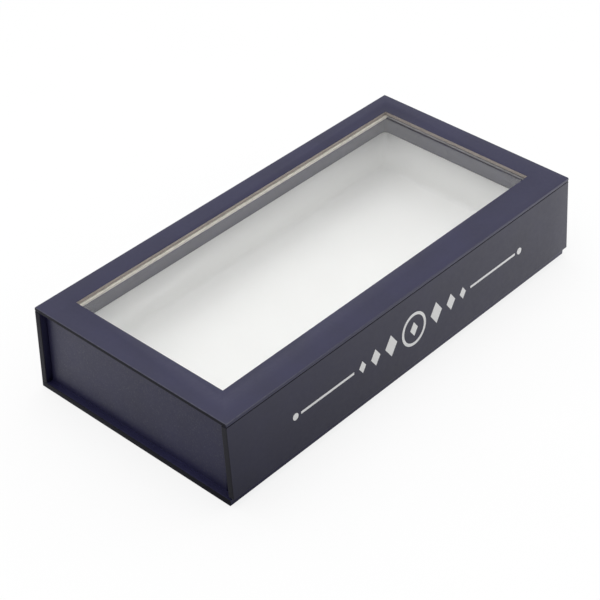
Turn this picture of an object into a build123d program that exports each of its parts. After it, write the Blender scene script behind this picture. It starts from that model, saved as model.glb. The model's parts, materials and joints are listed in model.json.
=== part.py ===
"""Book-style rigid gift box with a window in its lid, for one bow tie.

A paper-wrapped base board, spine, lid and front flap are one case. A lined tray is glued to the base and
the spine. The lid swings about its crease with the spine, and the flap about its crease with the lid.
Millimetres, +Z up, +Y towards the spine, +X along the spine. The origin is on the ground under the middle.
"""
from build123d import *
import math
import os

# Outside of the case
LENGTH = 180.0
CASE_DEPTH = 86.2
HEIGHT = 33.5
BASE_SETBACK = -1.0
FLAP_FOOT_GAP = 1.2
FLAP_LEAN_DEG = 5.1
EDGE_ROUND = 0.35

# Sheet stock
CASE_BOARD = 2.0
LID_FRAME_BOARD = 1.2
INNER_FRAME_BOARD = 0.8
TRAY_BOARD = 2.0
WRAP_PAPER = 0.15
LINER_PAPER = 0.15
LINING_CARD = 0.25
TAPE = 0.1
WINDOW_FILM = 0.2

# Window
WINDOW_MARGIN_LEFT = 10.9
WINDOW_MARGIN_RIGHT = 9.3
WINDOW_MARGIN_FRONT = 11.7
WINDOW_MARGIN_BACK = 8.2
INNER_FRAME_LEDGE_BACK = 0.8
INNER_FRAME_SET_BACK_RIGHT = 1.3
FILM_OVERLAP = 5.0
FILM_TAPE_WIDTH = 3.0
FILM_TAPE_INSET = 1.0

# Wraps and liners
TURN_IN = 12.0
LID_TURN_IN = 3.0
LINER_INSET = 2.0
INNER_FRAME_INSET = 2.2

# Tray
TRAY_END_RECESS = 2.6
RIM_GAP = 0.1
RIM_TURN_DOWN = 13.0
RIM_BAND_SHOWN = 9.6
TRAY_TURN_UNDER = 15.0
STAY_LEG = 12.0
STAY_END_GAP = 1.0
LINING_GAP = 0.05

# Running clearances
FLAP_CLEAR = 0.35
CREASE_GAP = 0.05
FRAME_CLEAR = 0.3

# Closing discs
DISC_RADIUS = 6.0
MAGNET_THICK = 1.5
PLATE_THICK = 1.0
DISC_SPAN = 120.0
DISC_DROP = 9.0
DISC_GAP = 0.05

# Foil ornament on the flap
FOIL_THICK = 0.05
ORNAMENT_DROP = 14.5
RING_RADIUS = 6.4
RING_WIDTH = 1.1
CORE_LOZENGE = 5.6
SIDE_LOZENGES = (8.6, 6.6, 4.8)
LOZENGE_ASPECT = 0.72
LOZENGE_GAP = 2.6
RULE_LENGTH = 26.0
RULE_WIDTH = 0.9
END_DOT_RADIUS = 1.3

# Levels, from the ground up
BASE_TOP = WRAP_PAPER + CASE_BOARD + WRAP_PAPER + LINER_PAPER
CREASE_Z = HEIGHT - WRAP_PAPER - LID_FRAME_BOARD
FILM_TOP = CREASE_Z - TAPE
INNER_FRAME_TOP = FILM_TOP - WINDOW_FILM
LID_UNDERSIDE = INNER_FRAME_TOP - INNER_FRAME_BOARD - LINER_PAPER
RIM_TOP = LID_UNDERSIDE - RIM_GAP
HEAD_Z = CREASE_Z - WRAP_PAPER - CREASE_GAP
TRAY_FLOOR_Z = BASE_TOP + WRAP_PAPER
LINING_Z = TRAY_FLOOR_Z + TRAY_BOARD
BAND_Z = RIM_TOP - RIM_BAND_SHOWN

# Flap, measured down from its crease
LEAN = math.radians(FLAP_LEAN_DEG)
FLAP_LENGTH = (CREASE_Z - BASE_TOP - FLAP_FOOT_GAP) / math.cos(LEAN)
FLAP_REACH = (FLAP_LENGTH - EDGE_ROUND) * math.sin(LEAN) + EDGE_ROUND * (1 - math.cos(LEAN))
FLAP_THICK = WRAP_PAPER + CASE_BOARD + WRAP_PAPER + LINER_PAPER

# Places front to back, with the origin under the middle of the whole depth
BACK_Y = (CASE_DEPTH + FLAP_REACH) / 2
FRONT_Y = BACK_Y - CASE_DEPTH
BASE_FRONT_Y = FRONT_Y + BASE_SETBACK
SPINE_IN_Y = BACK_Y - WRAP_PAPER - CASE_BOARD - WRAP_PAPER
TRAY_FRONT_Y = FRONT_Y + FLAP_THICK + FLAP_CLEAR
END_X = LENGTH / 2
TRAY_END_X = END_X - TRAY_END_RECESS

# Tray skins, as insets from the tray's outer face
WALL_OUT = WRAP_PAPER + TAPE
WALL_IN = WALL_OUT + TRAY_BOARD
BAND_IN = WALL_IN + WRAP_PAPER
LINING_IN = BAND_IN + LINING_CARD


def block(x0, x1, y0, y1, z0, z1):
    """A box between two corners."""
    return Pos((x0 + x1) / 2, (y0 + y1) / 2, (z0 + z1) / 2) * Box(x1 - x0, y1 - y0, z1 - z0)


def tray_block(inset, z0, z1):
    """A box that follows the tray's outline, drawn in by an inset."""
    return block(-TRAY_END_X + inset, TRAY_END_X - inset,
                 TRAY_FRONT_Y + inset, SPINE_IN_Y - inset, z0, z1)


def tray_ring(outer, inner, z0, z1):
    """A closed band round the tray between two insets."""
    return tray_block(outer, z0, z1) - tray_block(inner, z0, z1)


def rounded(shape, axis, radius, low=None, high=None):
    """Rounds the edges along one axis, or only those whose middles lie between two corners."""
    edges = shape.edges().filter_by(axis)
    if low is not None:
        edges = [e for e in edges if all(a - CREASE_GAP <= b <= c + CREASE_GAP
                                         for a, b, c in zip(low, e.center(), high))]
    return fillet(edges, radius)


def window(z0, z1, grow=0.0):
    """The window's opening, grown evenly, between two levels."""
    return block(-END_X + WINDOW_MARGIN_LEFT - grow, END_X - WINDOW_MARGIN_RIGHT + grow,
                 FRONT_Y + WINDOW_MARGIN_FRONT - grow, BACK_Y - WINDOW_MARGIN_BACK + grow, z0, z1)


def top_round(shape, z, x, y0, y1, radius):
    """Rounds the long and short edges of a panel's face at one level."""
    edges = [e for e in shape.edges() if abs(e.center().Z - z) < CREASE_GAP
             and (abs(abs(e.center().X) - x) < CREASE_GAP
                  or min(abs(e.center().Y - y0), abs(e.center().Y - y1)) < CREASE_GAP)]
    return fillet(edges, radius)


def base_and_spine():
    """The two fixed boards of the case, their wrap and the liner on the base."""
    inside = END_X - WRAP_PAPER
    board_top = WRAP_PAPER + CASE_BOARD
    yield "base_board", block(-inside, inside, BASE_FRONT_Y + WRAP_PAPER, BACK_Y - WRAP_PAPER,
                              WRAP_PAPER, board_top)
    skin = block(-END_X, END_X, BASE_FRONT_Y, BACK_Y, 0, board_top + WRAP_PAPER)
    skin = top_round(skin, 0, END_X, BASE_FRONT_Y, BACK_Y, EDGE_ROUND / 2)
    skin -= block(-inside, inside, BASE_FRONT_Y + WRAP_PAPER, BACK_Y - WRAP_PAPER, WRAP_PAPER, board_top)
    skin -= block(-END_X + TURN_IN, END_X - TURN_IN, BASE_FRONT_Y + TURN_IN, BACK_Y - TURN_IN,
                  board_top, board_top + WRAP_PAPER)
    yield "base_wrap", skin
    yield "base_liner", block(-END_X + LINER_INSET, END_X - LINER_INSET, BASE_FRONT_Y + LINER_INSET,
                              SPINE_IN_Y - LINER_PAPER, BASE_TOP - LINER_PAPER, BASE_TOP)
    foot, head = board_top + WRAP_PAPER, HEAD_Z - WRAP_PAPER
    yield "spine_board", block(-inside, inside, BACK_Y - WRAP_PAPER - CASE_BOARD, BACK_Y - WRAP_PAPER,
                               foot, head)
    skin = block(-END_X, END_X, SPINE_IN_Y, BACK_Y, foot, HEAD_Z)
    skin -= block(-inside, inside, BACK_Y - WRAP_PAPER - CASE_BOARD, BACK_Y - WRAP_PAPER, foot, head)
    skin -= block(-END_X + TURN_IN, END_X - TURN_IN, SPINE_IN_Y, SPINE_IN_Y + WRAP_PAPER, foot, head)
    yield "spine_wrap", skin


def disc_places():
    """The two places along the box where the flap is held shut."""
    return (-DISC_SPAN / 2, DISC_SPAN / 2)


def disc(x, y, z, radius, thick):
    """A round disc that faces the front, with its front face at y."""
    return Pos(x, y, z) * Rot(-90, 0, 0) * Cylinder(radius, thick, align=(Align.CENTER, Align.CENTER, Align.MIN))


def tray():
    """The tray's boards, corner stays, wrap and steel discs."""
    left, right = -TRAY_END_X + WALL_OUT, TRAY_END_X - WALL_OUT
    front, back = TRAY_FRONT_Y + WALL_OUT, SPINE_IN_Y - WALL_OUT
    top = RIM_TOP - WRAP_PAPER
    disc_z = CREASE_Z - DISC_DROP
    front_wall = block(left, right, front, front + TRAY_BOARD, TRAY_FLOOR_Z, top)
    plates = [disc(x, front, disc_z, DISC_RADIUS, PLATE_THICK - DISC_GAP) for x in disc_places()]
    for x in disc_places():
        front_wall -= disc(x, front, disc_z, DISC_RADIUS + DISC_GAP, PLATE_THICK)
    yield "tray_wall_front", front_wall
    yield "tray_wall_back", block(left, right, back - TRAY_BOARD, back, TRAY_FLOOR_Z, top)
    for side, x in (("left", left), ("right", right - TRAY_BOARD)):
        yield "tray_wall_" + side, block(x, x + TRAY_BOARD, front + TRAY_BOARD, back - TRAY_BOARD,
                                         TRAY_FLOOR_Z, top)
    yield "tray_floor_board", tray_block(WALL_IN, TRAY_FLOOR_Z, LINING_Z)
    yield "closing_plates", plates

    stays = []
    low, high = TRAY_FLOOR_Z + STAY_END_GAP, top - STAY_END_GAP
    ring = tray_ring(WRAP_PAPER, WALL_OUT, low, high)
    for x in (-TRAY_END_X, TRAY_END_X):
        for y in (TRAY_FRONT_Y, SPINE_IN_Y):
            stays.append(ring & block(x - STAY_LEG, x + STAY_LEG, y - STAY_LEG, y + STAY_LEG, low, high))
    yield "corner_stays", stays

    wrap = tray_block(0, BASE_TOP, RIM_TOP)
    wrap = rounded(wrap, Axis.Z, EDGE_ROUND)
    wrap -= tray_block(WRAP_PAPER, TRAY_FLOOR_Z, top)
    wrap -= tray_block(BAND_IN, TRAY_FLOOR_Z, RIM_TOP)
    wrap -= tray_block(TRAY_TURN_UNDER, BASE_TOP, TRAY_FLOOR_Z)
    wrap += tray_ring(WALL_IN, BAND_IN, RIM_TOP - RIM_TURN_DOWN, top)
    yield "tray_wrap", wrap


def tray_lining():
    """White card on the tray's floor and on each wall, up to the band at the rim."""
    yield "lining_floor", tray_block(LINING_IN + LINING_GAP, LINING_Z, LINING_Z + LINING_CARD)
    ring = tray_ring(BAND_IN, LINING_IN, LINING_Z, BAND_Z)
    x, y0, y1 = TRAY_END_X - LINING_IN, TRAY_FRONT_Y + LINING_IN, SPINE_IN_Y - LINING_IN
    far = END_X
    for name, cut in (("front", block(-far, far, y0 - LINING_CARD, y0, LINING_Z, BAND_Z)),
                      ("back", block(-far, far, y1, y1 + LINING_CARD, LINING_Z, BAND_Z)),
                      ("left", block(-x - LINING_CARD, -x, y0, y1, LINING_Z, BAND_Z)),
                      ("right", block(x, x + LINING_CARD, y0, y1, LINING_Z, BAND_Z))):
        yield "lining_" + name, ring & cut


def lid():
    """The lid's two frames with the film between them, its wrap and its liner."""
    inside = END_X - WRAP_PAPER
    front, back = FRONT_Y + WRAP_PAPER, BACK_Y - WRAP_PAPER
    opening = window(LID_UNDERSIDE - 1, HEIGHT + 1)
    board_top = HEIGHT - WRAP_PAPER
    yield "lid_frame_board", block(-inside, inside, front, back, CREASE_Z, board_top) - opening

    skin = block(-END_X, END_X, FRONT_Y, BACK_Y, CREASE_Z - WRAP_PAPER, HEIGHT)
    skin = top_round(skin, HEIGHT, END_X, FRONT_Y, BACK_Y, EDGE_ROUND)
    skin -= block(-inside, inside, front, back, CREASE_Z, board_top)
    skin -= block(-END_X + LID_TURN_IN, END_X - LID_TURN_IN, FRONT_Y + LID_TURN_IN, BACK_Y - LID_TURN_IN,
                  CREASE_Z - WRAP_PAPER, CREASE_Z)
    yield "lid_wrap", skin - opening

    film = window(INNER_FRAME_TOP, FILM_TOP, FILM_OVERLAP)
    yield "window_film", film
    outer, inner = FILM_TAPE_INSET + FILM_TAPE_WIDTH, FILM_TAPE_INSET
    band = window(FILM_TOP, CREASE_Z, outer) - window(FILM_TOP, CREASE_Z, inner)
    x0, x1 = -END_X + WINDOW_MARGIN_LEFT - inner, END_X - WINDOW_MARGIN_RIGHT + inner
    strips = [band & block(-END_X, x0, -CASE_DEPTH, CASE_DEPTH, FILM_TOP, CREASE_Z),
              band & block(x1, END_X, -CASE_DEPTH, CASE_DEPTH, FILM_TOP, CREASE_Z)]
    strips += list((band & block(x0, x1, -CASE_DEPTH, CASE_DEPTH, FILM_TOP, CREASE_Z)).solids())
    yield "film_tape", strips

    end = inside - INNER_FRAME_INSET
    y0 = FRONT_Y + FLAP_THICK + FRAME_CLEAR
    y1 = SPINE_IN_Y - FRAME_CLEAR
    low = INNER_FRAME_TOP - INNER_FRAME_BOARD
    opening = block(-END_X + WINDOW_MARGIN_LEFT, END_X - WINDOW_MARGIN_RIGHT + INNER_FRAME_SET_BACK_RIGHT,
                    FRONT_Y + WINDOW_MARGIN_FRONT, BACK_Y - WINDOW_MARGIN_BACK - INNER_FRAME_LEDGE_BACK,
                    LID_UNDERSIDE - 1, HEIGHT + 1)
    yield "lid_inner_frame", block(-end, end, y0, y1, low, INNER_FRAME_TOP) - opening
    skin = block(-end - LINER_PAPER, end + LINER_PAPER, y0, y1, LID_UNDERSIDE, INNER_FRAME_TOP)
    skin = rounded(skin, Axis.Y, EDGE_ROUND / 2)
    skin -= block(-end, end, y0, y1, low, INNER_FRAME_TOP)
    yield "lid_liner", skin - opening


def ornament():
    """A ring with a lozenge in it, and on each side lozenges that shrink towards a thin rule and a dot."""
    def lozenge(height):
        half, wide = height / 2, height * LOZENGE_ASPECT / 2
        return Polygon((0, half), (-wide, 0), (0, -half), (wide, 0), align=None)

    shapes = [Circle(RING_RADIUS) - Circle(RING_RADIUS - RING_WIDTH), lozenge(CORE_LOZENGE)]
    for way in (-1, 1):
        x = RING_RADIUS
        for height in SIDE_LOZENGES:
            wide = height * LOZENGE_ASPECT
            x += LOZENGE_GAP + wide / 2
            shapes.append(Pos(way * x, 0) * lozenge(height))
            x += wide / 2
        x += LOZENGE_GAP
        shapes.append(Pos(way * (x + RULE_LENGTH / 2), 0) * Rectangle(RULE_LENGTH, RULE_WIDTH))
        shapes.append(Pos(way * (x + RULE_LENGTH + LOZENGE_GAP), 0) * Circle(END_DOT_RADIUS))
    face = Plane(origin=(0, FRONT_Y, CREASE_Z - ORNAMENT_DROP), x_dir=(1, 0, 0), z_dir=(0, -1, 0))
    return [extrude(face * shape, FOIL_THICK) for shape in shapes]


def upright_flap():
    """The flap hanging straight down from its crease."""
    inside = END_X - WRAP_PAPER
    head, foot = HEAD_Z - WRAP_PAPER, CREASE_Z - FLAP_LENGTH
    front = FRONT_Y + WRAP_PAPER
    inner = front + CASE_BOARD
    disc_z = CREASE_Z - DISC_DROP
    board = block(-inside, inside, front, inner, foot + WRAP_PAPER, head)
    pocket = inner - MAGNET_THICK
    magnets = [disc(x, pocket + DISC_GAP, disc_z, DISC_RADIUS, MAGNET_THICK - DISC_GAP)
               for x in disc_places()]
    for x in disc_places():
        board -= disc(x, pocket, disc_z, DISC_RADIUS + DISC_GAP, MAGNET_THICK)
    yield "flap_board", board
    yield "flap_magnets", magnets

    skin = block(-END_X, END_X, FRONT_Y, inner + WRAP_PAPER, foot, HEAD_Z)
    outer_edges = [e for e in skin.edges() if abs(e.center().Y - FRONT_Y) < CREASE_GAP
                   and e.center().Z < head - CREASE_GAP]
    skin = fillet(outer_edges, EDGE_ROUND)
    skin -= block(-inside, inside, front, inner, foot + WRAP_PAPER, head)
    skin -= block(-END_X + TURN_IN, END_X - TURN_IN, inner, inner + WRAP_PAPER, foot + TURN_IN, head)
    yield "flap_wrap", skin
    yield "flap_liner", block(-END_X + LINER_INSET, END_X - LINER_INSET, inner + WRAP_PAPER,
                              inner + WRAP_PAPER + LINER_PAPER, foot + LINER_INSET, head)
    yield "foil_ornament", ornament()


def flap():
    """The flap as it stands in use, sprung a few degrees off the tray."""
    crease = Axis((0, FRONT_Y, CREASE_Z), (1, 0, 0))
    for name, piece in upright_flap():
        if isinstance(piece, list):
            yield name, [one.rotate(crease, -FLAP_LEAN_DEG) for one in piece]
        else:
            yield name, piece.rotate(crease, -FLAP_LEAN_DEG)


os.makedirs("parts", exist_ok=True)
for group in (base_and_spine, tray, tray_lining, lid, flap):
    for node, piece in group():
        if isinstance(piece, list):
            piece = Compound(children=piece)
        export_step(piece, os.path.join("parts", node + ".step"))
print("hinge lid", 0, round(BACK_Y, 4), round(CREASE_Z, 4))
print("hinge flap", 0, round(FRONT_Y, 4), round(CREASE_Z, 4))
print("depth", round(CASE_DEPTH + FLAP_REACH, 3), "tray front", round(TRAY_FRONT_Y, 3), "rim", RIM_TOP)
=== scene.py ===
import json
import math

import bmesh
import bpy
from bpy.props import FloatProperty, FloatVectorProperty, IntProperty, PointerProperty
from mathutils import Matrix, Vector
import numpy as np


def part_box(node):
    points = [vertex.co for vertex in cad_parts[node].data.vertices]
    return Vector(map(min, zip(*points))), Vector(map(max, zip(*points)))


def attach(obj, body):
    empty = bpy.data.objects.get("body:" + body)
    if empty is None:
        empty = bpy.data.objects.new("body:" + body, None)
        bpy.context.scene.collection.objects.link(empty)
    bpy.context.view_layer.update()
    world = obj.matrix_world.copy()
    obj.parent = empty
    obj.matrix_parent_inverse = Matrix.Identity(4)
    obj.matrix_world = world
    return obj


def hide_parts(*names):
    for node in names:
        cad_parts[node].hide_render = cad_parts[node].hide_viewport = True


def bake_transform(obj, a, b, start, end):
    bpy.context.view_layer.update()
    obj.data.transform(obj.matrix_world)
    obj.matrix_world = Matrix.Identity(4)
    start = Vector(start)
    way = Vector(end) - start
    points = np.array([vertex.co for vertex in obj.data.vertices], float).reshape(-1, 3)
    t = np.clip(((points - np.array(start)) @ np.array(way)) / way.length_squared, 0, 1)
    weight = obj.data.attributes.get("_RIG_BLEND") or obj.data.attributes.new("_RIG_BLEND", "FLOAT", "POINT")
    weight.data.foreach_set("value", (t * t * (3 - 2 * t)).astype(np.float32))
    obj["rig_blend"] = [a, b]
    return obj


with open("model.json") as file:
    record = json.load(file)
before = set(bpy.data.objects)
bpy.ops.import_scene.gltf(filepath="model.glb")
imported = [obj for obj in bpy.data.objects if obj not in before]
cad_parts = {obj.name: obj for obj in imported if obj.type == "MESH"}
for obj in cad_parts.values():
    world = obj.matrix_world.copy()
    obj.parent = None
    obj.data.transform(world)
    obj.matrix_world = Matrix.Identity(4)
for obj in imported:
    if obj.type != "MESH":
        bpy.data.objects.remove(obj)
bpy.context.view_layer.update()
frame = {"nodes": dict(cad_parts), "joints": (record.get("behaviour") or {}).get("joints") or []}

bl_info = {
    "name": "Windowed gift box",
    "version": (1, 0, 0),
    "blender": (4, 5, 0),
    "location": "View3D > Sidebar > Gift box",
    "description": "Dresses a book-style rigid box with a window lid, in paper, board, film and foil",
    "category": "Object",
}

MM = 0.001

# Places from the frame
ROOT, LID, FLAP = "case_and_tray", "lid", "flap"
LID_LOW, LID_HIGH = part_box("lid_wrap")
FILM_LOW, FILM_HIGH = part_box("window_film")
BASE_LOW, BASE_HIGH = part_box("base_wrap")
SPINE_LOW, SPINE_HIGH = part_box("spine_wrap")
TRAY_LOW, TRAY_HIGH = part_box("tray_wrap")
LINER_LOW, LINER_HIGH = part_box("lid_liner")
JOINTS = {j["name"]: j for j in frame["joints"]}
LID_CREASE = Vector(JOINTS["lid_hinge"]["pos_m"])
FLAP_CREASE = Vector(JOINTS["flap_hinge"]["pos_m"])

# Tests that pick faces, edges and ends
X, Y, Z = range(3)
FACING = 0.5  # least part of a normal along the axis that its face looks along
SAME_PLACE = 0.01 * MM  # places nearer than this are the same
FOLD_ANGLE = math.radians(30)  # least angle between the faces of a fold
SMOOTH_ANGLE = math.radians(35)  # greatest angle that is shaded smooth
END_BAND = 0.5 * MM  # how far in from a box's end its faces belong to the end
# Below a crease the folds get neither rub wear nor painted highlight
CREASE_BAND = 1.0 * MM  # how far below a crease the folds stay unrubbed

# Rubbing wear on folds, with a painted highlight along them: the attribute that holds it, and its light and
# middling amounts
FOLD = "fold"
LIGHT_RUB_HIGHLIGHT, MIDDLE_RUB_HIGHLIGHT = 0.3, 0.5

# Window film: its squares, the lengths and starts of its waves, and the room they are given
PANE_COLUMNS, PANE_ROWS = 48, 22
WAVE_ALONG, WAVE_ACROSS = 21 * MM, 17 * MM
WAVE_START_ALONG, WAVE_START_ACROSS = 0.6, -0.4
WAVE_ROOM = 2.2

# Crease papers: their squares, their size, the dip between the boards, and where they bend
CREASE_ROWS, CREASE_COLUMNS = 16, 24
CREASE_END_GAP = 0.1 * MM
CREASE_REACH = 0.75 * MM
CREASE_THICKNESS = 0.06 * MM
DIP_DEPTH, DIP_WIDTH, DIP_LEAST = 0.35 * MM, 0.22 * MM, 0.03 * MM
BEND_REACH = 0.35 * MM

# Floor: its size, its white as it is shown and as it is mirrored, and the painted shadow and pool of light
# that only its mirror image shows
FLOOR_RADIUS, FLOOR_SIDES, FLOOR_DROP = 3.0, 96, 0.02 * MM
SHOWN_WHITE, MIRRORED_WHITE = 0.82, 0.5
PAINTED_POOL_NEAR, PAINTED_POOL_FAR = 0.18, 4.3
PAINTED_POOL_REACH, PAINTED_POOL_ALONG = 300 * MM, 0.7

# Room: where its glow starts and where it is full, from -1 away from the bright side to 1 towards it
GLOW_START, GLOW_FULL = -0.3, 0.95

# Sockets of the Mix node, where numbers and colours have a pair each under the same names
NUMBER_A, NUMBER_B, NUMBER_OUT = 2, 3, 0
COLOUR_A, COLOUR_B, COLOUR_OUT = 6, 7, 2


class GIFTBOX_PG_colours(bpy.types.PropertyGroup):
    """Colours of the papers and boards."""
    navy: FloatVectorProperty(name="Navy wrap", description="Matt laminated wrap paper",
                              subtype="COLOR", size=3, default=(0.0125, 0.012, 0.044))
    # Rub colour for folds, which also serves as a painted highlight along the arrises
    rub_and_highlight_tone: FloatVectorProperty(name="Rubbed edge", description="Wrap paper along a folded edge",
                              subtype="COLOR", size=3, default=(0.07, 0.07, 0.095))
    # Painted shade: the boards' ends are coloured near black for the shade that falls on them
    edge: FloatVectorProperty(name="Board end", description="Wrap paper pressed over the boards' ends",
                              subtype="COLOR", size=3, default=(0.006, 0.006, 0.011))
    lining: FloatVectorProperty(name="Lining", description="White card inside the tray",
                                subtype="COLOR", size=3, default=(0.92, 0.92, 0.905))
    board: FloatVectorProperty(name="Greyboard", description="Raw board of the case and tray",
                               subtype="COLOR", size=3, default=(0.36, 0.32, 0.295))
    frame_board: FloatVectorProperty(name="Frame board", description="Cream board under the film",
                                     subtype="COLOR", size=3, default=(0.80, 0.76, 0.69))
    # Painted shade: a grey for the lip over the inner frame's end, standing in for that end in shade
    shaded_lip_grey: FloatVectorProperty(name="Raw paper", description="Liner paper's cut edge at the window",
                                   subtype="COLOR", size=3, default=(0.32, 0.32, 0.335))
    foil: FloatVectorProperty(name="Foil", description="White stamped ornament",
                              subtype="COLOR", size=3, default=(0.90, 0.90, 0.90))


class GIFTBOX_PG_sizes(bpy.types.PropertyGroup):
    """Sizes of the papers and folds that the construction leaves open."""
    paper: FloatProperty(name="Wrap paper", description="Thickness of the wrap paper",
                         default=0.15 * MM, unit="LENGTH", precision=5)
    fold: FloatProperty(name="Folded edge", description="Radius of a wrapped board's edge",
                        default=0.34 * MM, unit="LENGTH", precision=5)
    crease_round: FloatProperty(name="Crease edge", description="Radius of an edge beside a crease",
                                default=0.26 * MM, unit="LENGTH", precision=5)
    corner: FloatProperty(name="Tray corner", description="Radius of the tray's upright corners",
                          default=0.45 * MM, unit="LENGTH", precision=5)
    film_overlap: FloatProperty(name="Film overlap", description="Film hidden under the frame",
                                default=5.0 * MM, unit="LENGTH", precision=5)
    ledge: FloatProperty(name="Inner frame ledge", description="Inner frame shown at the window's back",
                         default=0.8 * MM, unit="LENGTH", precision=5)
    turn_in: FloatProperty(name="Turn-in", description="Paper turned over onto a board's inside",
                           default=12.0 * MM, unit="LENGTH", precision=5)
    lid_turn_in: FloatProperty(name="Lid turn-in", description="Paper turned under the lid's frame",
                               default=3.0 * MM, unit="LENGTH", precision=5)
    rim_turn_down: FloatProperty(name="Rim turn-down", description="Wrap turned down inside the tray",
                                 default=13.0 * MM, unit="LENGTH", precision=5)
    wall: FloatProperty(name="Tray wall", description="From the tray's outside to its inner wrap",
                        default=2.4 * MM, unit="LENGTH", precision=5)
    card: FloatProperty(name="Lining card", description="Thickness of the white card",
                        default=0.25 * MM, unit="LENGTH", precision=5)
    card_fold: FloatProperty(name="Lining fold", description="Radius where the card turns up the walls",
                             default=2.2 * MM, unit="LENGTH", precision=5)
    under: FloatProperty(name="Turn-under", description="Wrap turned under the tray",
                         default=15.0 * MM, unit="LENGTH", precision=5)
    lean: FloatProperty(name="Flap lean", description="How far the flap's foot stands off the tray",
                        default=math.radians(5.1), subtype="ANGLE")
    film_wave: FloatProperty(name="Film wave", description="Height of the film's gentle waves",
                             default=0.03 * MM, unit="LENGTH", precision=5)
    fold_steps: IntProperty(name="Fold steps", description="Facets round a folded edge", default=6)


class GIFTBOX_PG_stage(bpy.types.PropertyGroup):
    """Camera and lamps."""
    aim: FloatVectorProperty(name="Aim", description="Point that the camera looks at", size=3,
                             subtype="TRANSLATION", default=(-12.79 * MM, -3.25 * MM, 16.75 * MM))
    azimuth: FloatProperty(name="Azimuth", description="Camera's turn to the left of the front",
                           subtype="ANGLE", default=math.radians(-48.65))
    elevation: FloatProperty(name="Elevation", description="Camera's height angle",
                             subtype="ANGLE", default=math.radians(37.70))
    roll: FloatProperty(name="Roll", description="Camera's roll", subtype="ANGLE",
                        default=math.radians(0.383))
    distance: FloatProperty(name="Distance", description="Camera to aim point",
                            default=611.8 * MM, unit="LENGTH")
    lens: FloatProperty(name="Lens", description="Focal length in millimetres", default=106.72)
    dome: FloatProperty(name="Dome", description="Strength of the room's dim side", default=0.28)
    glow: FloatProperty(name="Glow", description="Extra strength of the room's bright side",
                        default=0.86)
    glow_from: FloatVectorProperty(name="Glow from", description="Direction of the room's bright side",
                                   size=3, subtype="DIRECTION", default=(0.46, 0.43, 0.78))
    key: FloatProperty(name="Key", description="Power of the large lamp overhead, in watts",
                       default=3.0)
    side: FloatProperty(name="Side", description="Power of the lamp at the right, in watts",
                        default=0.3)


def options():
    """The panel's settings: colours, sizes and stage."""
    scene = bpy.context.scene
    return scene.giftbox_colours, scene.giftbox_sizes, scene.giftbox_stage


# Materials

class Nodes:
    """A material's node tree, with short ways to add nodes and links."""

    def __init__(self, name):
        self.material = bpy.data.materials.new(name)
        self.material.use_nodes = True
        self.tree = self.material.node_tree
        self.tree.nodes.clear()
        self.out = self.add("ShaderNodeOutputMaterial")
        self.place = self.add("ShaderNodeTexCoord").outputs["Object"]

    def add(self, kind, inputs=None, **settings):
        """A node with its settings, and with inputs set or linked."""
        node = self.tree.nodes.new(kind)
        for key, value in settings.items():
            setattr(node, key, value)
        for key, value in (inputs or {}).items():
            self.put(node.inputs[key], value)
        return node

    def put(self, socket, value):
        """Links a socket to another, or sets its value."""
        if isinstance(value, bpy.types.NodeSocket):
            self.tree.links.new(value, socket)
        else:
            socket.default_value = value

    def scaled(self, x, y=None, z=None):
        """Object coordinates in features per millimetre along each axis."""
        scale = [v / MM for v in (x, x if y is None else y, x if z is None else z)]
        return self.add("ShaderNodeMapping", {"Vector": self.place, "Scale": scale}).outputs["Vector"]

    def noise(self, vector, detail=4.0, rough=0.55):
        """Cloudy noise."""
        return self.add("ShaderNodeTexNoise", {"Vector": vector, "Scale": 1.0, "Detail": detail,
                                               "Roughness": rough}).outputs["Fac"]

    def ramp(self, value, low, high, to_low=0.0, to_high=1.0):
        """A value moved from one range to another, and kept inside it."""
        return self.add("ShaderNodeMapRange", {"Value": value, "From Min": low, "From Max": high,
                                               "To Min": to_low, "To Max": to_high}).outputs["Result"]

    def maths(self, kind, a, b):
        """One step of arithmetic."""
        return self.add("ShaderNodeMath", {0: a, 1: b}, operation=kind).outputs[0]

    def mix(self, share, a, b):
        """A colour between two colours."""
        a, b = [v if isinstance(v, bpy.types.NodeSocket) else (*v, 1.0) for v in (a, b)]
        node = self.add("ShaderNodeMix", {0: share, COLOUR_A: a, COLOUR_B: b}, data_type="RGBA")
        return node.outputs[COLOUR_OUT]

    def between(self, share, a, b):
        """A number between two numbers."""
        node = self.add("ShaderNodeMix", {0: share, NUMBER_A: a, NUMBER_B: b}, data_type="FLOAT")
        return node.outputs[NUMBER_OUT]

    def bump(self, height, strength, distance, normal=None):
        """A relief, over another where one is given."""
        inputs = {"Height": height, "Strength": strength, "Distance": distance}
        if normal is not None:
            inputs["Normal"] = normal
        return self.add("ShaderNodeBump", inputs).outputs["Normal"]

    def rays(self, *kinds):
        """One for a ray of any of these kinds, and nothing for the rest."""
        path = self.add("ShaderNodeLightPath")
        found = path.outputs[kinds[0]]
        for kind in kinds[1:]:
            found = self.maths("MAXIMUM", found, path.outputs[kind])
        return found

    def surface(self, shader):
        """The material, with this shader at its surface."""
        self.tree.links.new(shader.outputs[0], self.out.inputs["Surface"])
        return self.material

    def finish(self, colour, rough, relief, specular=0.5, metallic=0.0):
        """The material, as one opaque surface."""
        return self.surface(self.add("ShaderNodeBsdfPrincipled", {
            "Base Color": colour, "Roughness": rough, "Normal": relief,
            "Specular IOR Level": specular, "Metallic": metallic}))

    def two_part(self, share, first, second):
        """The material, as two shaders mixed by the second one's share."""
        return self.surface(self.add("ShaderNodeMixShader", {
            0: share, 1: first.outputs[0], 2: second.outputs[0]}))


def shade(colour, by):
    """A colour made darker or lighter, up to white."""
    return [min(1.0, c * by) for c in colour]


def grey(level):
    """A grey, the same in red, green and blue."""
    return level, level, level


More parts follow.
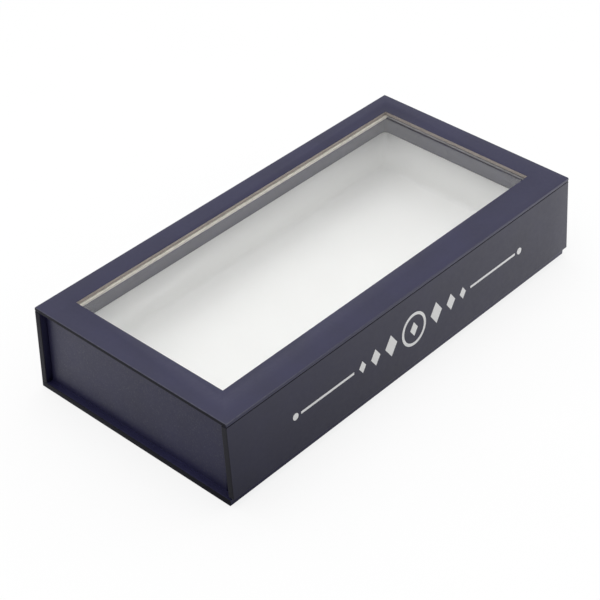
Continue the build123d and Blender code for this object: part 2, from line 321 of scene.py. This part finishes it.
def navy_paper(name, lift=1.0, flecks=0.0):
    """Matt laminated art paper: faint mottle and fibre, soft sheen, rub wear on folds lightened further as a
    painted highlight, and pale flecks.
    """
    colours = options()[0]
    navy = shade(colours.navy, lift)
    nodes = Nodes(name)
    mottle = nodes.noise(nodes.scaled(0.055), detail=3.0, rough=0.5)
    fibre = nodes.noise(nodes.scaled(2.6, 2.2, 2.6), detail=5.0, rough=0.7)
    speck = nodes.noise(nodes.scaled(0.6), detail=6.0, rough=0.62)
    colour = nodes.mix(nodes.ramp(mottle, 0.3, 0.7), shade(navy, 0.86), shade(navy, 1.16))
    colour = nodes.mix(nodes.ramp(fibre, 0.35, 0.75, 0.0, 0.22), colour, shade(navy, 1.5))
    # Folds are lightened towards the rub colour: rub wear, and a painted highlight along the arris
    fold = nodes.add("ShaderNodeAttribute", attribute_name=FOLD).outputs["Fac"]
    rubbed_and_highlit = nodes.maths("MULTIPLY", fold, nodes.ramp(speck, 0.3, 0.62, 0.2, 0.75))
    colour = nodes.mix(rubbed_and_highlit, colour, colours.rub_and_highlight_tone)
    if flecks:
        dust = nodes.noise(nodes.scaled(2.1), detail=2.0, rough=0.5)
        pale_dust = 0.12, 0.12, 0.13
        colour = nodes.mix(nodes.ramp(dust, 0.56, 0.72, 0.0, flecks), colour, pale_dust)
    rough = nodes.ramp(speck, 0.25, 0.75, 0.40, 0.50)
    relief = nodes.bump(fibre, 0.10, 0.02 * MM)
    relief = nodes.bump(nodes.noise(nodes.scaled(0.16), detail=2.0), 0.25, 0.05 * MM, relief)
    return nodes.finish(colour, rough, relief, specular=0.37)


def shaded_end_paper(name, gloss=0.14):
    """The same paper where it is pressed over a board's end, painted near black for the shade there: dull,
    with its coating crushed.
    """
    colours = options()[0]
    nodes = Nodes(name)
    crush = nodes.noise(nodes.scaled(1.1, 1.4, 1.4), detail=6.0, rough=0.65)
    colour = nodes.mix(nodes.ramp(crush, 0.3, 0.7), shade(colours.edge, 0.75), shade(colours.edge, 1.3))
    colour = nodes.mix(nodes.ramp(crush, 0.66, 0.8, 0.0, 0.3), colour, colours.rub_and_highlight_tone)
    rough = nodes.ramp(crush, 0.3, 0.7, 0.6, 0.72)
    return nodes.finish(colour, rough, nodes.bump(crush, 0.3, 0.03 * MM), specular=gloss)


def board(name, colour, grain=1.0):
    """Raw board: pressed fibres in thin layers, with dark and pale flecks."""
    nodes = Nodes(name)
    layers = nodes.noise(nodes.scaled(0.5, 0.5, 9.0), detail=4.0, rough=0.6)
    fleck = nodes.noise(nodes.scaled(1.9), detail=5.0, rough=0.7)
    tone = nodes.mix(nodes.ramp(layers, 0.3, 0.7), shade(colour, 0.80), shade(colour, 1.14))
    tone = nodes.mix(nodes.ramp(fleck, 0.6, 0.75, 0.0, 0.35), tone, shade(colour, 0.55))
    tone = nodes.mix(nodes.ramp(fleck, 0.36, 0.25, 0.0, 0.3), tone, shade(colour, 1.3))
    relief = nodes.bump(fleck, 0.35 * grain, 0.04 * MM)
    relief = nodes.bump(layers, 0.4 * grain, 0.05 * MM, relief)
    return nodes.finish(tone, 0.9, relief, specular=0.2)


def lining_card(name):
    """Smooth white card with a barely visible tooth."""
    colours = options()[0]
    nodes = Nodes(name)
    tooth = nodes.noise(nodes.scaled(3.0), detail=4.0, rough=0.7)
    cloud = nodes.noise(nodes.scaled(0.05), detail=2.0)
    tone = nodes.mix(nodes.ramp(cloud, 0.3, 0.7), shade(colours.lining, 0.98), colours.lining)
    rough = nodes.ramp(tooth, 0.3, 0.7, 0.62, 0.72)
    return nodes.finish(tone, rough, nodes.bump(tooth, 0.12, 0.02 * MM), specular=0.35)


def clear_film(name):
    """Clear glossy film, seen mostly by what it mirrors."""
    nodes = Nodes(name)
    wave = nodes.noise(nodes.scaled(0.02, 0.03, 0.02), detail=1.0)
    relief = nodes.bump(wave, 0.2, 0.15 * MM)
    slant = nodes.add("ShaderNodeLayerWeight", {"Blend": 0.5, "Normal": relief}).outputs["Facing"]
    mirrored = nodes.ramp(nodes.maths("POWER", slant, 5.0), 0.0, 1.0, 0.06, 1.0)
    clear = nodes.add("ShaderNodeBsdfTransparent", {"Color": (0.992, 0.993, 0.992, 1.0)})
    gloss = nodes.add("ShaderNodeBsdfPrincipled", {
        "Base Color": (*grey(0.95), 1.0), "Metallic": 1.0, "Roughness": 0.04, "Normal": relief})
    return nodes.two_part(mirrored, clear, gloss)


def clear_tape(name):
    """Double-sided tape, slightly yellow, with trapped bubbles."""
    nodes = Nodes(name)
    cells = nodes.add("ShaderNodeTexVoronoi", {"Vector": nodes.scaled(0.8), "Scale": 1.0})
    bubbles = cells.outputs["Distance"]
    deep, pale = (0.55, 0.50, 0.38), (0.74, 0.70, 0.58)
    tone = nodes.mix(nodes.ramp(bubbles, 0.1, 0.5), deep, pale)
    return nodes.finish(tone, 0.35, nodes.bump(bubbles, 0.3, 0.03 * MM))


def kraft(name):
    """Gummed kraft tape with long fibres."""
    nodes = Nodes(name)
    fibre = nodes.noise(nodes.scaled(0.5, 0.5, 3.5), detail=6.0, rough=0.7)
    deep, pale = (0.30, 0.19, 0.10), (0.46, 0.31, 0.18)
    tone = nodes.mix(nodes.ramp(fibre, 0.3, 0.7), deep, pale)
    return nodes.finish(tone, 0.75, nodes.bump(fibre, 0.3, 0.03 * MM))


def disc_metal(name, tone, rough):
    """Plated or plain steel with small scratches."""
    nodes = Nodes(name)
    scratch = nodes.noise(nodes.scaled(0.4, 4.0, 6.0), detail=5.0, rough=0.7)
    colour = nodes.mix(nodes.ramp(scratch, 0.35, 0.65), shade(tone, 0.85), tone)
    scratched = nodes.ramp(scratch, 0.3, 0.7, rough, rough + 0.12)
    return nodes.finish(colour, scratched, nodes.bump(scratch, 0.15, 0.01 * MM), metallic=1.0)


def white_foil(name):
    """Opaque white stamping foil: smooth, with pinholes where the paper's tooth shows through."""
    colours = options()[0]
    nodes = Nodes(name)
    pin = nodes.noise(nodes.scaled(2.4), detail=5.0, rough=0.75)
    pinhole = 0.45, 0.45, 0.50
    tone = nodes.mix(nodes.ramp(pin, 0.70, 0.78, 0.0, 0.35), colours.foil, pinhole)
    rough = nodes.ramp(pin, 0.3, 0.7, 0.30, 0.42)
    return nodes.finish(tone, rough, nodes.bump(pin, 0.12, 0.01 * MM))


def dress(node, material):
    """Gives a construction node its material."""
    slots = frame["nodes"][node].data.materials
    slots.clear()
    slots.append(material)


# Boxes, faces and edges

def shrink(low, high, by, axes):
    """A box drawn in along some axes."""
    a, b = low.copy(), high.copy()
    for axis in axes:
        a[axis] += by
        b[axis] -= by
    return a, b


def box_around(points):
    """The box around some points."""
    low = Vector([min(p[axis] for p in points) for axis in (X, Y, Z)])
    high = Vector([max(p[axis] for p in points) for axis in (X, Y, Z)])
    return low, high


def window_opening(sizes):
    """The window's opening in the lid's frame."""
    return shrink(FILM_LOW, FILM_HIGH, sizes.film_overlap, (X, Y))


def cuts_at(low, high, axes):
    """Cutting planes at a box's sides along some axes."""
    return [(axis, corner[axis]) for axis in axes for corner in (low, high)]


def within(point, low, high, axes):
    """True for a point between two corners along some axes."""
    return all(low[a] < point[a] < high[a] for a in axes)


def same(a, b):
    """True for two places along an axis that are the same."""
    return abs(a - b) < SAME_PLACE


def middle(edge):
    """An edge's midpoint."""
    return (edge.verts[0].co + edge.verts[1].co) / 2


def is_fold(edge):
    """True for an edge where two faces meet at an angle."""
    return len(edge.link_faces) == 2 and edge.calc_face_angle() > FOLD_ANGLE


def open_above_and_below(above, below):
    """A test for the top faces in one opening and the bottom faces in another."""
    def gone(point, normal):
        opening = above if normal.z > 0 else below
        return abs(normal.z) > FACING and within(point, *opening, (X, Y))
    return gone


def rub_highlight_below_crease(top):
    """Light rub wear and painted highlight for folds, with none where the paper runs into the crease above.
    """
    return lambda point: 0.0 if point.z > top - CREASE_BAND else LIGHT_RUB_HIGHLIGHT


# Paper skins

def cut_box(low, high, cuts=(), gone=None):
    """A box of single faces, cut right through at some planes, less the faces that are gone."""
    bm = bmesh.new()
    bm.verts.layers.float.new(FOLD)
    bmesh.ops.create_cube(bm, size=1.0)
    for v in bm.verts:
        v.co = Vector([(low[i] + high[i]) / 2 + v.co[i] * (high[i] - low[i]) for i in (X, Y, Z)])
    for axis, place in cuts:
        normal = Vector([float(i == axis) for i in (X, Y, Z)])
        bmesh.ops.bisect_plane(bm, geom=bm.verts[:] + bm.edges[:] + bm.faces[:],
                               plane_co=normal * place, plane_no=normal)
    if gone:
        bm.normal_update()
        faces = [f for f in bm.faces if gone(f.calc_center_median(), f.normal)]
        bmesh.ops.delete(bm, geom=faces, context="FACES")
    return bm


def turn_edges(bm, edges, height, material=0):
    """Turns open edges up or down to a height, as a new strip."""
    for part in bmesh.ops.extrude_edge_only(bm, edges=edges)["geom"]:
        if isinstance(part, bmesh.types.BMVert):
            part.co.z = height
        elif isinstance(part, bmesh.types.BMFace):
            part.material_index = material


def round_folds(bm, radius, steps, wanted=lambda edge: True, rubbed_and_highlit=lambda point: 1.0):
    """Rounds the folds that are wanted, and marks how much rub wear and painted highlight each takes."""
    folds = [e for e in bm.edges if is_fold(e) and wanted(e)]
    made = bmesh.ops.bevel(bm, geom=folds, offset=radius, segments=steps, profile=0.5,
                           affect="EDGES", clamp_overlap=True)
    fold = bm.verts.layers.float[FOLD]
    round_faces = set(made["faces"])
    for v in bm.verts:
        if v.link_faces and all(f in round_faces for f in v.link_faces):
            v[fold] = rubbed_and_highlit(v.co)


def mark_ends(bm, low, high, slant=0.9):
    """Gives a box's two ends the second material, their painted shade, up to where their folds turn away by
    a slant.
    """
    bm.normal_update()
    for f in bm.faces:
        x = f.calc_center_median().x
        if abs(f.normal.x) > slant and min(abs(x - low.x), abs(x - high.x)) < END_BAND:
            f.material_index = 1


def make(name, bm, *materials):
    """An object from a bmesh, smooth over its rounded folds."""
    mesh = bpy.data.meshes.new(name)
    bm.to_mesh(mesh)
    bm.free()
    for material in materials:
        mesh.materials.append(material)
    piece = bpy.data.objects.new(name, mesh)
    bpy.context.scene.collection.objects.link(piece)
    for polygon in mesh.polygons:
        polygon.use_smooth = True
    mesh.set_sharp_from_angle(angle=SMOOTH_ANGLE)
    return piece


def thicken(piece, thickness, offset=-1.0):
    """Gives a sheet its thickness, inwards as it comes, in its own mesh."""
    solid = piece.modifiers.new("thickness", "SOLIDIFY")
    solid.thickness = thickness
    solid.offset = offset
    solid.use_even_offset = True
    graph = bpy.context.evaluated_depsgraph_get()
    graph.update()
    mesh = bpy.data.meshes.new_from_object(piece.evaluated_get(graph))
    piece.modifiers.clear()
    piece.data = mesh
    return piece


def seat(piece, body, slot, *nodes):
    """Puts a finished piece on its body, in place of the nodes that it stands for."""
    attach(piece, body)
    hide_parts(*nodes)


# Steps

class GIFTBOX_OT_boards(bpy.types.Operator):
    """Finishes the raw boards, the corner stays, the film's tape and the liners of the base and flap"""
    bl_idname = "giftbox.boards"
    bl_label = "Boards and liners"

    def execute(self, context):
        colours = options()[0]
        greyboard = board("raw_greyboard", colours.board)
        cream = board("cream_frame_board", colours.frame_board, grain=0.5)
        for node in ("base_board", "spine_board", "flap_board", "lid_frame_board", "tray_floor_board",
                     "tray_wall_front", "tray_wall_back", "tray_wall_left", "tray_wall_right"):
            dress(node, greyboard)
        dress("lid_inner_frame", cream)
        liner = navy_paper("navy_liner_paper", lift=1.05)
        for node in ("base_liner", "flap_liner"):
            dress(node, liner)
        dress("corner_stays", kraft("kraft_stay_tape"))
        dress("film_tape", clear_tape("film_mounting_tape"))
        return {"FINISHED"}


class GIFTBOX_OT_case_covers(bpy.types.Operator):
    """Wraps the base board and the spine in navy paper with folded edges"""
    bl_idname = "giftbox.case_covers"
    bl_label = "Base and spine covers"

    def execute(self, context):
        sizes = options()[1]
        # The second paper paints the ends of the base and spine in shade
        papers = navy_paper("navy_case_paper"), shaded_end_paper("shaded_case_ends")
        hole = shrink(BASE_LOW, BASE_HIGH, sizes.turn_in, (X, Y))
        bm = cut_box(BASE_LOW, BASE_HIGH, cuts_at(*hole, (X, Y)),
                     lambda p, n: n.z > FACING and within(p, *hole, (X, Y)))
        round_folds(bm, sizes.crease_round, sizes.fold_steps, rubbed_and_highlit=lambda p: LIGHT_RUB_HIGHLIGHT)
        mark_ends(bm, BASE_LOW, BASE_HIGH, slant=0.25)
        base = thicken(make("base_cover", bm, *papers), sizes.paper)
        seat(base, ROOT, "navy_paper", "base_wrap")

        back = shrink(SPINE_LOW, SPINE_HIGH, sizes.turn_in, (X,))
        bm = cut_box(SPINE_LOW, SPINE_HIGH, cuts_at(*back, (X,)),
                     lambda p, n: n.z < -FACING or (n.y < -FACING and within(p, *back, (X,))))
        round_folds(bm, sizes.crease_round, sizes.fold_steps, rubbed_and_highlit=rub_highlight_below_crease(SPINE_HIGH.z))
        mark_ends(bm, SPINE_LOW, SPINE_HIGH, slant=0.25)
        spine = thicken(make("spine_cover", bm, *papers), sizes.paper)
        seat(spine, ROOT, "navy_paper", "spine_wrap")
        return {"FINISHED"}


class GIFTBOX_OT_lid(bpy.types.Operator):
    """Wraps the lid's frame in navy paper, cut flush with the board at the window"""
    bl_idname = "giftbox.lid"
    bl_label = "Lid cover"

    def execute(self, context):
        sizes = options()[1]
        # The second paper paints the lid's ends in shade
        papers = navy_paper("navy_lid_paper"), shaded_end_paper("shaded_lid_ends")
        window = window_opening(sizes)
        under = shrink(LID_LOW, LID_HIGH, sizes.lid_turn_in, (X, Y))
        bm = cut_box(LID_LOW, LID_HIGH, cuts_at(*window, (X, Y)) + cuts_at(*under, (X, Y)),
                     open_above_and_below(window, under))
        top_fold = LID_HIGH.z - sizes.fold
        # Only the top folds of the lid's left half take the rub colour, as a painted highlight along that
        # arris
        round_folds(bm, sizes.fold, sizes.fold_steps,
                    rubbed_and_highlit=lambda p: float(p.z > top_fold and p.x < 0))
        mark_ends(bm, LID_LOW, LID_HIGH)
        cover = thicken(make("lid_cover", bm, *papers), sizes.paper)
        seat(cover, LID, "navy_paper", "lid_wrap")
        return {"FINISHED"}


class GIFTBOX_OT_lid_liner(bpy.types.Operator):
    """Lines the lid in navy paper, wrapped over the inner frame's edges, with a lip at one end painted grey
    for the shade on the frame's end
    """
    bl_idname = "giftbox.lid_liner"
    bl_label = "Lid liner"

    def execute(self, context):
        colours, sizes = options()[:2]
        wrapped = Vector((0.0, sizes.paper, 0.0))
        low, high = LINER_LOW - wrapped, LINER_HIGH + wrapped
        opening = window_opening(sizes)
        opening[1].y -= sizes.ledge
        bm = cut_box(low, high, cuts_at(*opening, (X, Y)),
                     lambda p, n: n.z > FACING or (n.z < -FACING and within(p, *opening, (X, Y))))
        right_end = [e for e in bm.edges if e.is_boundary and same(middle(e).z, low.z)
                     and same(middle(e).x, opening[1].x)]
        turn_edges(bm, right_end, high.z, material=1)
        round_folds(bm, sizes.crease_round, sizes.fold_steps)
        # The turned-up lip is painted grey for the shade on the inner frame's end
        shaded_lip = board("shaded_liner_lip", colours.shaded_lip_grey, grain=0.3)
        papers = navy_paper("navy_lid_liner", lift=1.05), shaded_lip
        liner = thicken(make("lid_lining_cover", bm, *papers), sizes.paper)
        seat(liner, LID, "navy_paper", "lid_liner")
        return {"FINISHED"}


class GIFTBOX_OT_window(bpy.types.Operator):
    """Stretches the clear film between the lid's two frames"""
    bl_idname = "giftbox.window"
    bl_label = "Window film"

    def execute(self, context):
        sizes = options()[1]
        bm = bmesh.new()
        bmesh.ops.create_grid(bm, x_segments=PANE_COLUMNS, y_segments=PANE_ROWS, size=0.5)
        size = FILM_HIGH - FILM_LOW
        centre = (FILM_LOW + FILM_HIGH) / 2
        for v in bm.verts:
            x, y = v.co.x * size.x, v.co.y * size.y
            along = math.sin(x / WAVE_ALONG + WAVE_START_ALONG)
            wave = along * math.cos(y / WAVE_ACROSS + WAVE_START_ACROSS)
            v.co = Vector((centre.x + x, centre.y + y, centre.z + sizes.film_wave * wave))
        film = make("window_pane", bm, clear_film("clear_window_film"))
        thicken(film, size.z - WAVE_ROOM * sizes.film_wave, offset=0.0)
        seat(film, LID, "clear_film", "window_film")
        return {"FINISHED"}


class GIFTBOX_OT_tray(bpy.types.Operator):
    """Wraps the tray outside and over its rim"""
    bl_idname = "giftbox.tray"
    bl_label = "Tray cover"

    def execute(self, context):
        sizes = options()[1]
        inside = shrink(TRAY_LOW, TRAY_HIGH, sizes.wall, (X, Y))
        under = shrink(TRAY_LOW, TRAY_HIGH, sizes.under, (X, Y))
        bm = cut_box(TRAY_LOW, TRAY_HIGH, cuts_at(*inside, (X, Y)) + cuts_at(*under, (X, Y)),
                     open_above_and_below(inside, under))
        rim = TRAY_HIGH.z
        inner_rim = [e for e in bm.edges if e.is_boundary and same(middle(e).z, rim)]
        turn_edges(bm, inner_rim, rim - sizes.rim_turn_down)
        bm.normal_update()
        ends = (TRAY_LOW.x, TRAY_HIGH.x)
        round_folds(bm, sizes.corner, sizes.fold_steps,
                    lambda e: not same(e.verts[0].co.z, e.verts[1].co.z)
                    and any(same(middle(e).x, x) for x in ends))
        round_folds(bm, sizes.crease_round, sizes.fold_steps,
                    lambda e: same(middle(e).z, rim), rubbed_and_highlit=lambda p: MIDDLE_RUB_HIGHLIGHT)
        paper = navy_paper("navy_tray_paper", flecks=0.25)
        cover = thicken(make("tray_cover", bm, paper), sizes.paper)
        seat(cover, ROOT, "navy_paper", "tray_wrap")
        return {"FINISHED"}


class GIFTBOX_OT_lining(bpy.types.Operator):
    """Lines the tray's floor and walls with white card, folded up at their foot"""
    bl_idname = "giftbox.lining"
    bl_label = "Tray lining"

    def execute(self, context):
        sizes = options()[1]
        cards = ["lining_" + side for side in ("floor", "front", "back", "left", "right")]
        low, high = box_around([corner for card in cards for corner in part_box(card)])
        bm = cut_box(low, high, gone=lambda p, n: n.z > FACING)
        round_folds(bm, sizes.card_fold, sizes.fold_steps)
        lining = thicken(make("tray_lining", bm, lining_card("white_lining_card")), sizes.card)
        seat(lining, ROOT, "white_lining", *cards)
        return {"FINISHED"}


class GIFTBOX_OT_flap(bpy.types.Operator):
    """Wraps the flap in navy paper"""
    bl_idname = "giftbox.flap"
    bl_label = "Flap cover"

    def execute(self, context):
        sizes = options()[1]
        upright = Matrix.Translation(FLAP_CREASE) @ Matrix.Rotation(sizes.lean, 4, "X")
        upright = upright @ Matrix.Translation(-FLAP_CREASE)
        wrap = frame["nodes"]["flap_wrap"].data
        low, high = box_around([upright @ v.co for v in wrap.vertices])
        inner = shrink(low, high, sizes.turn_in, (X,))
        inner[0].z += sizes.turn_in
        bm = cut_box(low, high, cuts_at(*inner, (X,)) + [(Z, inner[0].z)],
                     lambda p, n: n.y > FACING and within(p, *inner, (X, Z)))
        round_folds(bm, sizes.fold, sizes.fold_steps, rubbed_and_highlit=rub_highlight_below_crease(high.z))
        mark_ends(bm, low, high, slant=0.6)
        bmesh.ops.transform(bm, matrix=upright.inverted(), verts=bm.verts)
        # The flap's navy is a darker copy of the lid's same paper, and its ends are near black: both painted
        # shade
        papers = navy_paper("shaded_navy_flap_paper", lift=0.6), shaded_end_paper("shaded_flap_ends", gloss=0.28)
        cover = thicken(make("flap_cover", bm, *papers), sizes.paper)
        seat(cover, FLAP, "navy_paper", "flap_wrap")
        return {"FINISHED"}


def crease_strip(name, centre, outward, lean, low_body, high_body, material):
    """The paper in a crease: a narrow sheet along X that dips inwards where the boards part."""
    bm = bmesh.new()
    half = LID_HIGH.x - CREASE_END_GAP
    along = [-half + 2 * half * j / CREASE_COLUMNS for j in range(CREASE_COLUMNS + 1)]
    grid = []
    for i in range(CREASE_ROWS + 1):
        rise = (2 * i / CREASE_ROWS - 1) * CREASE_REACH
        dip = DIP_DEPTH * math.exp(-(rise / DIP_WIDTH) ** 2) + DIP_LEAST
        tilt = lean if rise < 0 else 0.0
        y = centre.y - outward * dip - outward * rise * math.sin(tilt)
        z = centre.z + rise * math.cos(tilt)
        grid.append([bm.verts.new((x, y, z)) for x in along])
    for i in range(CREASE_ROWS):
        for j in range(CREASE_COLUMNS):
            quad = (grid[i][j], grid[i][j + 1], grid[i + 1][j + 1], grid[i + 1][j])
            bm.faces.new(quad if outward < 0 else quad[::-1])
    piece = thicken(make(name, bm, material), CREASE_THICKNESS)
    step = Vector((0, 0, BEND_REACH))
    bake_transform(piece, low_body, high_body, start=centre - step, end=centre + step)


class GIFTBOX_OT_creases(bpy.types.Operator):
    """Adds the paper hinges in the two creases"""
    bl_idname = "giftbox.creases"
    bl_label = "Crease papers"

    def execute(self, context):
        sizes = options()[1]
        # The crease papers take the near-black end paper: painted shade down in the seam
        paper = shaded_end_paper("shaded_crease_paper")
        crease_strip("lid_crease_paper", LID_CREASE, 1, 0.0, ROOT, LID, paper)
        crease_strip("flap_crease_paper", FLAP_CREASE, -1, sizes.lean, FLAP, LID, paper)
        return {"FINISHED"}


class GIFTBOX_OT_fittings(bpy.types.Operator):
    """Finishes the magnets, their steel plates and the foil ornament"""
    bl_idname = "giftbox.fittings"
    bl_label = "Closing discs and ornament"

    def execute(self, context):
        dress("flap_magnets", disc_metal("nickel_plate", tone=(0.62, 0.60, 0.57), rough=0.18))
        dress("closing_plates", disc_metal("plain_steel", tone=grey(0.48), rough=0.34))
        dress("foil_ornament", white_foil("white_stamped_foil"))
        return {"FINISHED"}


# Stage

def softbox(name, place, aim, size, power):
    """A soft rectangular lamp that points at a place."""
    data = bpy.data.lights.new(name, "AREA")
    data.shape = "RECTANGLE"
    data.size, data.size_y = size
    data.energy = power
    lamp = bpy.data.objects.new(name, data)
    lamp.location = place
    lamp.rotation_euler = (Vector(aim) - Vector(place)).to_track_quat("-Z", "Y").to_euler()
    lamp.visible_camera = False
    bpy.context.scene.collection.objects.link(lamp)


def pale_floor(name):
    """A matt floor that shows near white. Its mirror image has a painted shadow by the base and a painted
    pool of light far off.
    """
    nodes = Nodes(name)
    seen = nodes.rays("Is Camera Ray", "Is Transmission Ray")
    mirrored = nodes.rays("Is Glossy Ray")
    grain = nodes.noise(nodes.scaled(0.02), detail=3.0)
    # Bounced light sees the dim tone, for deeper shade at the box's foot
    dim = nodes.mix(grain, grey(0.40), grey(0.44))
    lit = nodes.mix(grain, grey(0.80), grey(0.84))
    tone = nodes.mix(nodes.maths("MAXIMUM", seen, mirrored), dim, lit)
    matt = nodes.add("ShaderNodeBsdfPrincipled", {"Base Color": tone, "Roughness": 0.8,
                                                  "Specular IOR Level": 0.2})
    # Painted shadow and light: mirrored rays see a white whose strength grows with distance from the box's
    # front-left corner
    corner = Vector((BASE_LOW.x, BASE_LOW.y, 0.0))
    stretch = (PAINTED_POOL_ALONG, 1.0, 1.0)
    away = nodes.add("ShaderNodeVectorMath", {0: nodes.place, 1: corner}, operation="SUBTRACT")
    away = nodes.add("ShaderNodeVectorMath", {0: away.outputs["Vector"], 1: stretch},
                     operation="MULTIPLY")
    away = nodes.add("ShaderNodeVectorMath", {0: away.outputs["Vector"]}, operation="LENGTH")
    painted_pool = nodes.ramp(away.outputs["Value"], 0.0, PAINTED_POOL_REACH, PAINTED_POOL_NEAR, PAINTED_POOL_FAR)
    level = nodes.between(mirrored, 1.0, painted_pool)
    white = nodes.add("ShaderNodeEmission", {"Color": (*grey(1.0), 1.0), "Strength": level})
    share = nodes.maths("MAXIMUM", nodes.maths("MULTIPLY", seen, SHOWN_WHITE),
                        nodes.maths("MULTIPLY", mirrored, MIRRORED_WHITE))
    return nodes.two_part(share, matt, white)


class RoomNodes(Nodes):
    """A world's node tree, with the same short ways to add nodes and links."""

    def __init__(self, name):
        self.world = bpy.data.worlds.new(name)
        self.world.use_nodes = True
        self.tree = self.world.node_tree
        self.tree.nodes.clear()
        self.out = self.add("ShaderNodeOutputWorld")


def soft_room(name, stage):
    """A room with one bright side, shown as plain white to the camera and in gloss and clear sheets."""
    nodes = RoomNodes(name)
    seen = nodes.rays("Is Camera Ray", "Is Transmission Ray", "Is Glossy Ray")
    way = nodes.add("ShaderNodeTexCoord").outputs["Generated"]
    toward = Vector(stage.glow_from).normalized()
    facing = nodes.add("ShaderNodeVectorMath", {0: way, 1: toward}, operation="DOT_PRODUCT")
    glow = nodes.add("ShaderNodeMapRange", {"Value": facing.outputs["Value"], "From Min": GLOW_START,
                                            "From Max": GLOW_FULL}, interpolation_type="SMOOTHSTEP")
    glow = nodes.maths("MULTIPLY", glow.outputs["Result"], stage.glow)
    level = nodes.between(seen, nodes.maths("ADD", glow, stage.dome), 1.0)
    room = nodes.add("ShaderNodeBackground", {"Color": (*grey(1.0), 1.0), "Strength": level})
    nodes.put(nodes.out.inputs["Surface"], room.outputs[0])
    return nodes.world


def add_camera(stage):
    """Adds the camera, turned round the point that it looks at."""
    camera = bpy.data.objects.new("camera", bpy.data.cameras.new("camera"))
    camera.data.lens = stage.lens
    camera.data.sensor_width = 36.0
    camera.data.clip_start = 0.01
    az, el = stage.azimuth, stage.elevation
    back = Vector((math.sin(az) * math.cos(el), -math.cos(az) * math.cos(el), math.sin(el)))
    turn = back.to_track_quat("Z", "Y") @ Matrix.Rotation(stage.roll, 4, "Z").to_quaternion()
    camera.rotation_euler = turn.to_euler()
    camera.location = Vector(stage.aim) + back * stage.distance
    bpy.context.scene.collection.objects.link(camera)
    bpy.context.scene.camera = camera


class GIFTBOX_OT_stage(bpy.types.Operator):
    """Sets up the pale floor, the soft light and the camera"""
    bl_idname = "giftbox.stage"
    bl_label = "Stage"

    def execute(self, context):
        stage = options()[2]
        scene = context.scene
        bm = bmesh.new()
        bmesh.ops.create_circle(bm, cap_ends=True, segments=FLOOR_SIDES, radius=FLOOR_RADIUS)
        floor = make("floor", bm, pale_floor("pale_floor"))
        floor.location.z = -FLOOR_DROP
        scene.world = soft_room("soft_room", stage)
        softbox("overhead_softbox", place=(-0.10, 0.10, 0.80), aim=(0, 0, 0), size=(0.85, 0.6),
                power=stage.key)
        softbox("right_softbox", place=(0.40, -0.26, 0.12), aim=(0.09, -0.04, 0.015),
                size=(0.30, 0.22), power=stage.side)
        add_camera(stage)
        scene.view_settings.view_transform = "Standard"
        return {"FINISHED"}


# Panel and registration

class GIFTBOX_PT_panel(bpy.types.Panel):
    """The gift box's steps and settings"""
    bl_idname = "GIFTBOX_PT_panel"
    bl_label = "Gift box"
    bl_space_type = "VIEW_3D"
    bl_region_type = "UI"
    bl_category = "Gift box"

    def draw(self, context):
        for step in STEPS:
            self.layout.operator(step.bl_idname)
        for group in options():
            box = self.layout.box()
            for name in group.__annotations__:
                box.prop(group, name)


GROUPS = {"giftbox_colours": GIFTBOX_PG_colours, "giftbox_sizes": GIFTBOX_PG_sizes,
          "giftbox_stage": GIFTBOX_PG_stage}
STEPS = (GIFTBOX_OT_stage, GIFTBOX_OT_boards, GIFTBOX_OT_case_covers, GIFTBOX_OT_lid,
         GIFTBOX_OT_lid_liner, GIFTBOX_OT_window, GIFTBOX_OT_tray, GIFTBOX_OT_lining,
         GIFTBOX_OT_flap, GIFTBOX_OT_creases, GIFTBOX_OT_fittings)


def register():
    """Registers the settings, the steps and the panel."""
    for kind in (*GROUPS.values(), *STEPS, GIFTBOX_PT_panel):
        bpy.utils.register_class(kind)
    for name, kind in GROUPS.items():
        setattr(bpy.types.Scene, name, PointerProperty(type=kind))


def unregister():
    """Takes the settings, the steps and the panel away again."""
    for name in GROUPS:
        delattr(bpy.types.Scene, name)
    for kind in (GIFTBOX_PT_panel, *reversed(STEPS), *reversed(GROUPS.values())):
        bpy.utils.unregister_class(kind)


def main():
    """Registers the box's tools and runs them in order."""
    register()
    for step in STEPS:
        group, name = step.bl_idname.split(".")
        getattr(getattr(bpy.ops, group), name)()


if __name__ == "__main__":
    main()
